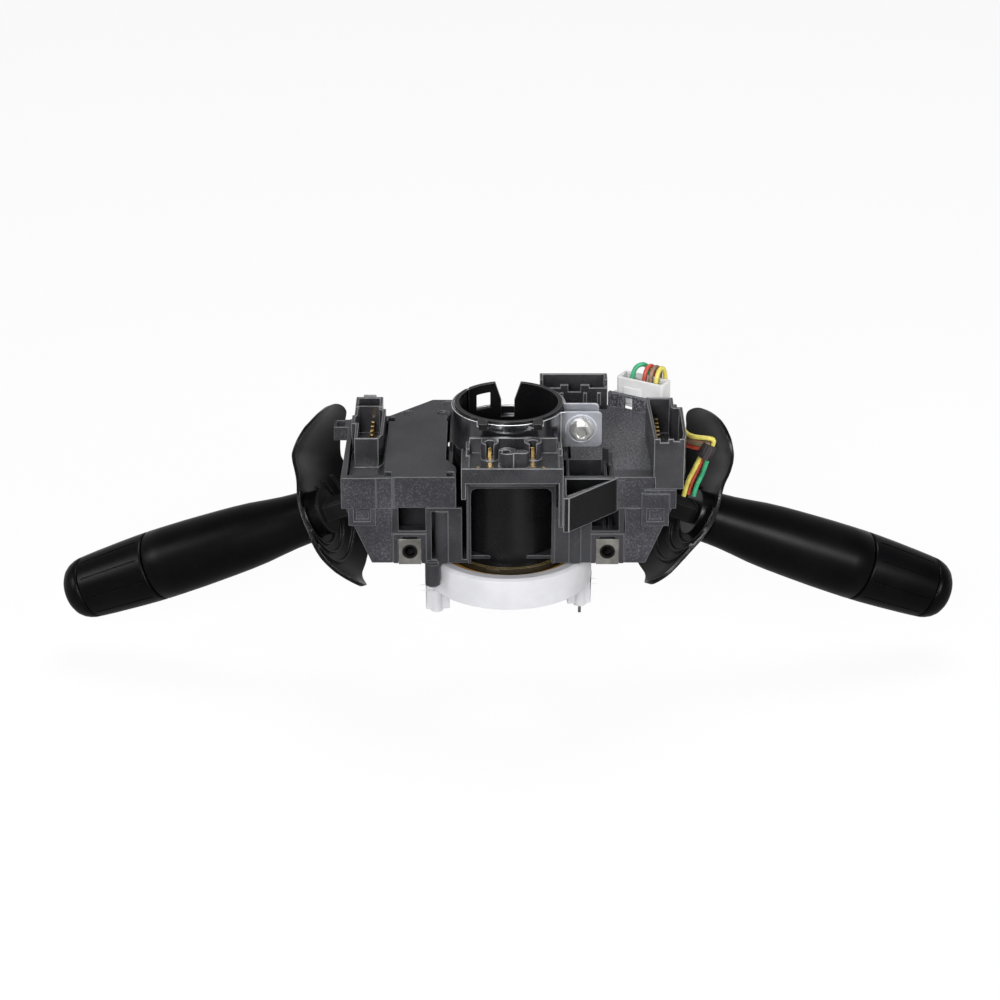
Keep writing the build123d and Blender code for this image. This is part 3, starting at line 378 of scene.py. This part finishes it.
# Each slot's finish. Sizes of grain, depths of relief and the places of patches are in mm.
finishPlans = {
    # The rim colour is a painted highlight on the rounded edges, and edge sets how strongly it shows.
    "housing_black": (mouldedPlastic, "housingBlack", {
        "grain": 0.26, "depth": 0.014, "rough": 0.18, "shine": 0.28,
        "dark": (0.014, 0.014, 0.016), "light": (0.028, 0.028, 0.032),
        "wornAndSheen": (0.10, 0.10, 0.11), "speck": 0.25, "scuff": 0.3,
        "rim": (0.12, 0.12, 0.125), "edge": 0.45,
        "shields": {"tint": (0.0025, 0.0025, 0.0028), "beyond": (55.0, 60.0)}}),
    "cover_grey": (mouldedPlastic, "coverGrey", {
        "grain": 0.42, "depth": 0.06, "rough": 0.24, "shine": 0.4,
        "dark": (0.014, 0.014, 0.017), "light": (0.030, 0.030, 0.036),
        "wornAndSheen": (0.16, 0.16, 0.18), "speck": 0.45, "scuff": 0.15,
        "rim": (0.12, 0.12, 0.13), "edge": 0.5,
        "deck": {"x": (20.0, 22.0), "y": (-20.0, -18.0), "gritAndSheen": 0.7, "share": 0.9}}),
    "connector_black": (mouldedPlastic, "connectorBlack", {
        "grain": 0.3, "depth": 0.008, "rough": 0.14, "shine": 0.45,
        "dark": (0.018, 0.018, 0.021), "light": (0.036, 0.036, 0.040),
        "wornAndSheen": (0.09, 0.09, 0.10), "speck": 0.3, "scuff": 0.35,
        "rim": (0.20, 0.20, 0.205), "edge": 0.8,
        # chute darkens the cable chute beside the window as painted shade
        "chute": {
            "left": (24.5, 25.0), "right": (55.0, 56.0), "back": (-28.5, -28.0),
            "tint": (0.004, 0.004, 0.0045)}}),
    "sleeve_black": (mouldedPlastic, "sleeveBlack", {
        "grain": 0.5, "depth": 0.003, "rough": 0.14, "shine": 0.3,
        "dark": (0.003, 0.003, 0.0035), "light": (0.005, 0.005, 0.0055),
        "wornAndSheen": (0.02, 0.02, 0.02), "speck": 0.1, "scuff": 0.15,
        "rim": (0.12, 0.12, 0.12), "edge": 0.4}),
    "stalk_black": (mouldedPlastic, "stalkBlack", {
        "grain": 0.25, "depth": 0.010, "rough": 0.2, "shine": 0.1,
        "dark": (0.0012, 0.0012, 0.0014), "light": (0.0024, 0.0024, 0.0028),
        "wornAndSheen": (0.006, 0.006, 0.007), "speck": 0.15, "scuff": 0.2,
        "rim": (0.03, 0.03, 0.032), "edge": 0.3}),
    # The ring's colours are kept dark as a painted reflection of the dim room in front; the ears keep a
    # lighter zinc colour.
    "zinc_steel": (platedMetal, "zincSteel", {
        "along": (1, 1, 6), "depth": 0.002, "rough": 0.10,
        "bright": (0.30, 0.30, 0.32), "dull": (0.22, 0.22, 0.24),
        "ear": {
            "x": (23.5, 26.5), "rim": (0.95, 0.95, 0.97),
            "bright": (0.66, 0.67, 0.71), "dull": (0.46, 0.48, 0.54)}}),
    "bolt_steel": (platedMetal, "boltSteel", {
        "along": (4, 1, 4), "rough": 0.18,
        "bright": (0.80, 0.80, 0.78), "dull": (0.55, 0.55, 0.52)}),
    "nut_steel": (platedMetal, "nutSteel", {
        "along": (1, 1, 1), "depth": 0.03, "rough": 0.26,
        "bright": (0.50, 0.49, 0.46), "dull": (0.20, 0.19, 0.17),
        "holeShade": {"x": 44.7, "z": 8.9, "radius": (3.3, 3.8), "holeShadeTint": (0.02, 0.019, 0.018)}}),
    "screw_steel": (platedMetal, "screwSteel", {
        "along": (2, 2, 2), "rough": 0.25,
        "bright": (0.42, 0.42, 0.41), "dull": (0.22, 0.22, 0.21)}),
    "contact_gold": (platedMetal, "contactGold", {
        "along": (1, 1, 0.3), "rough": 0.14,
        "bright": (0.86, 0.62, 0.26), "dull": (0.50, 0.31, 0.10)}),
    "nylon_white": (whiteNylon, "nylonWhite", {
        "tint": (0.62, 0.62, 0.62), "deep": (0.52, 0.52, 0.52), "soak": 0.15}),
    "acetal_natural": (whiteNylon, "acetalNatural", {
        "tint": (0.58, 0.56, 0.48), "deep": (0.48, 0.46, 0.39), "soak": 0.15}),
    "drum_white": (whiteNylon, "drumWhite", {
        "tint": (0.49, 0.49, 0.51), "deep": (0.42, 0.42, 0.44), "soak": 0.0,
        # coil paints the recess inside the inner ring as shade, with the ribbon's turns and their painted
        # highlights on it
        "coil": {
            "radius": (29.6, 29.8), "z": (-9.0, -8.0), "pitch": 1.2,
            "dark": (0.02, 0.014, 0.006), "gold": (0.55, 0.42, 0.16)}}),
    "wire_green": (insulation, "wireGreen", {"tint": (0.035, 0.36, 0.17), "deep": (0.02, 0.25, 0.12)}),
    "wire_red": (insulation, "wireRed", {"tint": (0.50, 0.065, 0.035), "deep": (0.33, 0.04, 0.02)}),
    "wire_brown": (insulation, "wireBrown", {"tint": (0.25, 0.15, 0.10), "deep": (0.15, 0.085, 0.055)}),
    "wire_yellow": (insulation, "wireYellow", {"tint": (0.70, 0.60, 0.12), "deep": (0.52, 0.43, 0.07)}),
    "tape_black": (clothTape, "clothTape", {
        "warp": 520.0, "weft": 620.0, "dark": (0.012, 0.011, 0.012), "light": (0.085, 0.065, 0.07)}),
    "ribbon_amber": (amberFilm, "amberFilm", {
        "lines": 330.0, "dark": (0.36, 0.15, 0.02), "light": (0.62, 0.33, 0.07),
        "smear": (0.25, 0.10, 0.015)}),
    "board_green": (circuitBoard, "circuitBoard", {
        "track": 3.0, "mask": (0.02, 0.10, 0.045), "copper": (0.03, 0.16, 0.075)}),
}
finishes = {slotName: make(name, plan) for slotName, (make, name, plan) in finishPlans.items()}
slotOf = {part["node"]: part["material_slot"] for part in frame["record"]["subparts"]}
bodyOf = {node: body for body, members in frame["record"]["behaviour"]["bodies"].items() for node in members}
print("finishes", len(finishes))

# Studio: pure white to the camera; metal mirrors a white sweep behind and a dim room in front.

roomPlan = {"from": 0.1, "to": 0.95, "front": 0.05, "back": 0.45, "seen": 1.0}

world = bpy.data.worlds.new("studio")
scene.world = world
sky = Shading(world)
towards = sky.node("ShaderNodeTexCoord", {}, {}, "Generated")
backward = sky.node("ShaderNodeSeparateXYZ", {}, {0: towards}, "Y")
room = sky.node("ShaderNodeMapRange", {}, {
    "Value": backward, "From Min": roomPlan["from"], "From Max": roomPlan["to"],
    "To Min": roomPlan["front"], "To Max": roomPlan["back"]})
seen = sky.node(
    "ShaderNodeMath", {"operation": "MAXIMUM"},
    {0: sky.ray("Camera"), 1: sky.ray("Transmission")})
strength = sky.node("ShaderNodeMapRange", {}, {"Value": seen, "To Min": room, "To Max": roomPlan["seen"]})
background = sky.tree.nodes["Background"]
sky.put(background.inputs["Color"], (1, 1, 1, 1))
sky.put(background.inputs["Strength"], strength)

# The pale floor. Metal mirrors a ramp on it, from dark in front to light behind, and two round cards.
floorPlan = {
    "size": 6.0,
    "drop": 22.5 * mm,                         # the levers reach this much lower when they are pressed down
    "paper": ((0.86, 0.86, 0.86), (0.88, 0.88, 0.88)),
    "cameraShare": 0.92,                       # how far the camera sees it glow; the rest is lit and shaded
    "glossyShare": 0.85,                       # how far metal sees the ramp and the cards in its place
    "ramp": (-0.05, 0.3), "rampLevel": 0.7, "leastLevel": 0.04,
    "cards": (
        {"x": -0.09, "y": -0.14, "radius": 0.07, "level": 0.5},
        {"x": 0.10, "y": -0.26, "radius": 0.09, "level": 0.9}),
}


def floorFinish(plan):
    made = Finish("paleFloor")
    fibre = made.noise(60.0)
    made.surface({
        "Base Color": fibre.blend(*plan["paper"]),
        "Roughness": fibre * 0.1 + 0.7,
        "Emission Color": (1, 1, 1, 1),
        "Emission Strength": 0.0,
    })
    level = made.axis("Y").over(*plan["ramp"]) * plan["rampLevel"] + plan["leastLevel"]
    for card in plan["cards"]:
        x = made.axis("X") - card["x"]
        y = made.axis("Y") - card["y"]
        area = card["radius"] ** 2
        level = level + (1 - (x * x + y * y).over(area * 0.3, area)) * card["level"]
    paper = Link(made, made.shader.outputs[0])
    glow = made.node("ShaderNodeEmission", {}, {"Strength": 1.0})
    mirrored = made.node("ShaderNodeEmission", {}, {"Color": level})
    toCamera = made.ray("Camera") * plan["cameraShare"]
    toMetal = made.ray("Glossy") * plan["glossyShare"]
    lit = made.node("ShaderNodeMixShader", {}, {0: toCamera, 1: paper, 2: glow})
    both = made.node("ShaderNodeMixShader", {}, {0: toMetal, 1: lit, 2: mirrored})
    made.put(made.tree.nodes["Material Output"].inputs["Surface"], both)
    return made.owner


floorShape = bmesh.new()
bmesh.ops.create_grid(floorShape, x_segments=1, y_segments=1, size=floorPlan["size"])
bmesh.ops.translate(floorShape, verts=floorShape.verts, vec=(0, 0, cadBox[0][2] - floorPlan["drop"]))
floorMesh = bpy.data.meshes.new("floor")
floorShape.to_mesh(floorMesh)
floorShape.free()
floorMesh.materials.append(floorFinish(floorPlan))
floor = bpy.data.objects.new("floor", floorMesh)
scene.collection.objects.link(floor)
print("studio ready")

# Moulded and pressed parts: the solid's own mesh, joined up, with eased edges. Widths in mm.

easedEdges = {
    "main_housing": 0.28, "column_sleeve": 0.2,
    "left_case": 0.35, "right_case": 0.35, "left_cover": 0.35, "right_cover": 0.35,
    "left_header": 0.28, "right_header": 0.28, "rear_header": 0.28, "contact_socket": 0.28,
    "cable_chute": 0.35, "wire_plug": 0.35, "spiral_rotor": 0.3, "rotor_hub": 0.2,
    "clamp_band": 0.2, "clamp_nut": 0.2, "shroud_nuts": 0.12,
    "left_detent_track": 0.3, "right_detent_track": 0.3, "left_carrier": 0.4, "right_carrier": 0.4,
    "left_lever": 0.3, "right_lever": 0.3, "left_shield": 0.35, "right_shield": 0.35,
    "clamp_bolt": 0.15, "case_screws": 0.15,
    "left_header_pins": 0.08, "right_header_pins": 0.08, "rear_header_pins": 0.08, "socket_contacts": 0.08,
}
weldGap = 0.004 * mm
cornerAngle = radians(32)                      # edges sharper than this are eased

# How far the rim of each ball shield is drawn outwards: pairs of height, read along slope, and reach.
# The reach grows from nothing at rimFrom off the stalk's axis to all of it rimOver further out. In mm.
shieldPlan = {
    "slope": (0.4147, 0.91), "rimFrom": 15, "rimOver": 14,
    "rims": {
        "left_shield": (
            (-20, 1.6), (-14, 2.3), (-8, 2.0), (0, 0.9), (8, -1.6), (17.6, -2.8), (23.4, -2.2),
            (27.5, -1.6), (31, -0.8), (34.4, 0.0), (37.2, 0.9), (41, 1.9), (44, 1.7), (48.3, 1.2),
            (53.8, 0.0), (56, -1.0), (62, -3.0)),
        "right_shield": (
            (-20, 3.0), (-15, 0.8), (-12, -0.6), (-9, -1.5), (0, -2.8), (9, -1.9), (17.6, -0.4),
            (23.4, -0.3), (27, 0.5), (31, 1.6), (34.4, 2.3), (37.2, 3.0), (41, 3.5), (48.3, 3.5),
            (53.8, 2.8), (56.5, 2.2), (62, 0.0))},
}


def paint(piece, slotName):
    piece.data.materials.clear()
    piece.data.materials.append(finishes[slotName])


def dress(piece, slotName, body, standsFor):
    paint(piece, slotName)
    scene.collection.objects.link(piece)
    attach(piece, body)
    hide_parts(*standsFor)
    return piece


def sided(side, place):                        # a place or direction on the right, mirrored for the left
    return Vector((-place[0] if side == "left" else place[0], place[1], place[2]))


def readTable(table, at):
    for (low, first), (high, second) in zip(table, table[1:]):
        if low <= at <= high:
            return first + (second - first) * (at - low) / (high - low)
    return table[0][1] if at < table[0][0] else table[-1][1]


def reshapeShield(shape, nodeName):
    side = nodeName.removesuffix("_shield")
    sign = -1 if side == "left" else 1
    pivot = sided(side, stalkPlan["pivot"])
    stalk = sided(side, stalkPlan["along"])
    for vert in shape.verts:
        arm = vert.co - pivot
        aside = (arm - stalk * arm.dot(stalk)).length / mm
        share = min(max((aside - shieldPlan["rimFrom"]) / shieldPlan["rimOver"], 0.0), 1.0)
        height = (shieldPlan["slope"][0] * vert.co.y + shieldPlan["slope"][1] * vert.co.z) / mm
        reach = readTable(shieldPlan["rims"][nodeName], height)
        vert.co.x += sign * reach * share * share * (3 - 2 * share) * mm


def weldedCopy(nodeName):                      # worked on, then shown in place of the solid
    mesh = nodes[nodeName].data.copy()
    shape = bmesh.new()
    shape.from_mesh(mesh)
    bmesh.ops.remove_doubles(shape, verts=shape.verts, dist=weldGap)
    return mesh, shape


def smoothFaces(shape):
    for face in shape.faces:
        face.smooth = True


def showCopy(mesh, shape, pieceName, nodeName):
    smoothFaces(shape)
    shape.to_mesh(mesh)
    shape.free()
    piece = bpy.data.objects.new(pieceName, mesh)
    dress(piece, slotOf[nodeName], bodyOf[nodeName], [nodeName])
    flat = piece.modifiers.new("flat", "WEIGHTED_NORMAL")
    flat.keep_sharp = True


def easeEdges(nodeName, width):
    mesh, shape = weldedCopy(nodeName)
    corners = [edge for edge in shape.edges if edge.calc_face_angle(0.0) > cornerAngle]
    rounded = bmesh.ops.bevel(
        shape, geom=corners, offset=width * mm, offset_type="OFFSET", segments=2, profile=0.5,
        affect="EDGES", material=-1, clamp_overlap=False)
    if nodeName in shieldPlan["rims"]:
        reshapeShield(shape, nodeName)
    # the rounded faces are marked, so that the finishes can paint a highlight on them
    eased = shape.loops.layers.float_color.new("eased")
    for faces, mark in ((shape.faces, (0, 0, 0, 1)), (rounded["faces"], (1, 1, 1, 1))):
        for face in faces:
            for loop in face.loops:
                loop[eased] = mark
    showCopy(mesh, shape, nodeName + "_eased", nodeName)


for nodeName, width in easedEdges.items():
    easeEdges(nodeName, width)
for nodeName, piece in nodes.items():
    paint(piece, slotOf[nodeName])
print("eased", len(easedEdges))

# Stalks, turned about their own axes: pairs of distance along the axis and radius, in mm.

shellPlan = {
    "outside": (
        (51.5, 12.3), (57, 12.45), (63, 12.85), (71, 13.75), (80, 14.9), (89, 15.6), (98, 16.05),
        (107, 16.4), (115.5, 16.7), (126, 16.88), (134.9, 16.95), (135.5, 16.5)),
    "inside": ((135.5, 14.0), (133.0, 13.6)),
}
knobPlan = {
    "neck": ((133.8, 12.3), (133.8, 12.9), (136.3, 13.0)),     # fills the mouth of the shell
    "outside": (
        (136.3, 16.45), (136.9, 16.93), (142.0, 16.85), (151.5, 16.5), (165.0, 15.8), (172.4, 15.28),
        (172.9, 14.8), (172.9, 12.0)),
    "grooves": 10, "grooveTurn": 2.2, "grooveDepth": 0.55, "from": 139.0, "to": 170.5,
    "easing": 0.12, "easingAngle": 35,
}
capPlan = {
    "outside": (
        (173.2, 11.0), (173.2, 14.7), (173.7, 15.15), (175.6, 14.98), (177.6, 14.5), (179.8, 13.6),
        (181.8, 12.2), (183.4, 10.2), (184.6, 7.4), (185.5, 4.0), (185.8, 0.0)),
}
turnPlan = {"steps": 120, "weld": 0.001 * mm, "stripSteps": 11, "stripWeld": 0.002 * mm, "cut": 0.0005 * mm}
groovePitch = 360.0 / knobPlan["grooves"]


def spunPiece(profile, steps=turnPlan["steps"], start=0.0, turn=360.0):
    shape = bmesh.new()
    points = [shape.verts.new((radius * mm, 0, along * mm)) for along, radius in profile]
    lines = [shape.edges.new(pair) for pair in zip(points, points[1:])]
    bmesh.ops.rotate(shape, verts=shape.verts, matrix=Matrix.Rotation(radians(start), 3, "Z"))
    bmesh.ops.spin(
        shape, geom=points + lines, axis=(0, 0, 1), cent=(0, 0, 0), angle=radians(turn),
        steps=steps, use_merge=turn == 360.0)
    bmesh.ops.remove_doubles(shape, verts=shape.verts, dist=turnPlan["weld"])
    return shape


def stalkMatrix(side):
    axes = Matrix([sided(side, stalkPlan[key]) for key in ("across", "down", "along")]).transposed()
    return Matrix.Translation(sided(side, stalkPlan["pivot"])) @ axes.to_4x4()


def stalkPiece(shape, side, name, body, standsFor):
    bmesh.ops.transform(shape, matrix=stalkMatrix(side), verts=shape.verts)
    bmesh.ops.recalc_face_normals(shape, faces=shape.faces)
    smoothFaces(shape)
    mesh = bpy.data.meshes.new(side + name)
    shape.to_mesh(mesh)
    shape.free()
    piece = bpy.data.objects.new(side + name, mesh)
    return dress(piece, "stalk_black", side + body, [side + standsFor])


def knobStrips():                              # a narrow strip for each groove, and wide ones between
    narrow = knobPlan["grooveTurn"]
    wide = groovePitch - narrow
    shape = bmesh.new()
    for i in range(knobPlan["grooves"]):
        for start, turn, steps in ((narrow / 2, wide, turnPlan["stripSteps"]), (-narrow / 2, narrow, 1)):
            strip = spunPiece(knobPlan["neck"] + knobPlan["outside"], steps, start + i * groovePitch, turn)
            mesh = bpy.data.meshes.new("strip")
            strip.to_mesh(mesh)
            strip.free()
            shape.from_mesh(mesh)
            bpy.data.meshes.remove(mesh)
    bmesh.ops.remove_doubles(shape, verts=shape.verts, dist=turnPlan["stripWeld"])
    return shape


def inGroove(face):
    middle = face.calc_center_median()
    if not knobPlan["from"] * mm < middle.z < knobPlan["to"] * mm:
        return False
    turned = Vector((middle.x, middle.y)).angle_signed(Vector((1, 0))) * 180 / pi
    return abs((turned + groovePitch / 2) % groovePitch - groovePitch / 2) < knobPlan["grooveTurn"] / 4


def gripKnob(side):
    shape = knobStrips()
    for height in (knobPlan["from"], knobPlan["to"]):
        bmesh.ops.bisect_plane(
            shape, geom=shape.verts[:] + shape.edges[:] + shape.faces[:], dist=turnPlan["cut"],
            plane_co=(0, 0, height * mm), plane_no=(0, 0, 1))
    channel = [face for face in shape.faces if inGroove(face)]
    sunk = bmesh.ops.extrude_face_region(shape, geom=channel)
    for vert in [made for made in sunk["geom"] if isinstance(made, bmesh.types.BMVert)]:
        outwards = Vector((vert.co.x, vert.co.y, 0)).normalized()
        vert.co -= outwards * knobPlan["grooveDepth"] * mm
    bmesh.ops.delete(shape, geom=channel, context="FACES")
    piece = stalkPiece(shape, side, "GripKnob", "_knob", "_knob")
    rounder = piece.modifiers.new("edges", "BEVEL")
    rounder.width = knobPlan["easing"] * mm
    rounder.segments = 2
    rounder.limit_method = "ANGLE"
    rounder.angle_limit = radians(knobPlan["easingAngle"])
    rounder.harden_normals = True


for side in ("left", "right"):
    stalkPiece(
        spunPiece(shellPlan["outside"] + shellPlan["inside"]), side, "StalkSleeve", "_stalk", "_stalk_shell")
    gripKnob(side)
    stalkPiece(spunPiece(capPlan["outside"]), side, "RoundedCap", "_knob", "_end_cap")
print("stalks turned")

# Wires, each on one smooth line through its own route. Places and lengths in mm.

wireThickness = 2.2
wireRoutes = {
    "green": {"length": 85.6, "points": (
        (58.43, 58.15, 54.5), (58.43, 58.15, 64.6), (67.37, 62.34, 64.8), (67.3, 62.62, 44.67),
        (80.4, 48.0, 35.4), (84.6, 34.34, 37.4), (86.72, 26.29, 37.4), (93.6, 22.59, 37.4))},
    "red": {"length": 84.0, "points": (
        (64.0, 54.8, 54.5), (64.0, 54.8, 64.6), (69.65, 60.97, 64.8), (69.7, 61.18, 46.22),
        (80.4, 48.0, 38.2), (81.2, 34.0, 37.8), (84.0, 23.4, 37.8), (93.6, 21.4, 37.8))},
    "brown": {"length": 79.9, "points": (
        (66.79, 53.13, 54.5), (66.79, 53.13, 64.6), (71.93, 59.6, 64.8), (72.1, 59.73, 47.78),
        (80.4, 48.0, 41.0), (81.2, 34.0, 40.6), (84.0, 23.4, 40.6), (93.6, 21.4, 40.6))},
    "yellow": {"length": 81.3, "points": (
        (69.57, 51.45, 54.5), (69.57, 51.45, 64.6), (74.21, 58.23, 64.8), (74.5, 58.29, 49.33),
        (80.4, 48.0, 43.8), (81.2, 34.0, 43.4), (84.0, 23.4, 43.4), (93.2, 21.6, 43.4),
        (95.95, 21.4, 42.25), (94.5, 21.4, 39.17))},
}
wireTails = {
    "yellow": ((89.66, 20.8, 35.22), (86.6, 19.8, 28.55), (83.22, 18.3, 22.49), (81.7, 17.0, 15.9)),
    "red": ((91.2, 22.8, 34.5), (88.6, 21.8, 27.4), (85.4, 20.3, 21.8), (84.0, 19.0, 15.9)),
    "green": ((92.74, 20.8, 33.78), (90.6, 19.8, 26.25), (87.59, 18.3, 21.11), (86.3, 17.0, 15.9)),
}
wrapSwell = 1.22                               # the cloth wrap is fuller than its solid


def wireCurve(name, points):
    line = bpy.data.curves.new(name, "CURVE")
    line.dimensions = "3D"
    line.bevel_depth = wireThickness / 2 * mm
    line.bevel_resolution = 5
    line.resolution_u = 14
    line.use_fill_caps = True
    spline = line.splines.new("NURBS")
    spline.points.add(len(points) - 1)
    for point, place in zip(spline.points, points):
        point.co = (*(c * mm for c in place), 1)
    spline.order_u = 3
    spline.use_endpoint_u = True
    return bpy.data.objects.new(name, line)


for tint, route in wireRoutes.items():
    slotName = "wire_" + tint
    piece = dress(wireCurve(tint + "Wire", route["points"]), slotName, "housing", [slotName])
for tint, points in wireTails.items():
    slotName = "wire_" + tint
    dress(wireCurve(tint + "WireTail", points), slotName, "housing", [slotName])

wrapMesh, wrapShape = weldedCopy("harness_tape")
heart = sum((vert.co for vert in wrapShape.verts), Vector()) / len(wrapShape.verts)
bmesh.ops.translate(wrapShape, verts=wrapShape.verts, vec=-heart)
bmesh.ops.scale(wrapShape, verts=wrapShape.verts, vec=[wrapSwell] * 3)
bmesh.ops.translate(wrapShape, verts=wrapShape.verts, vec=heart)
showCopy(wrapMesh, wrapShape, "clothWrap", "harness_tape")
print("wires laid")
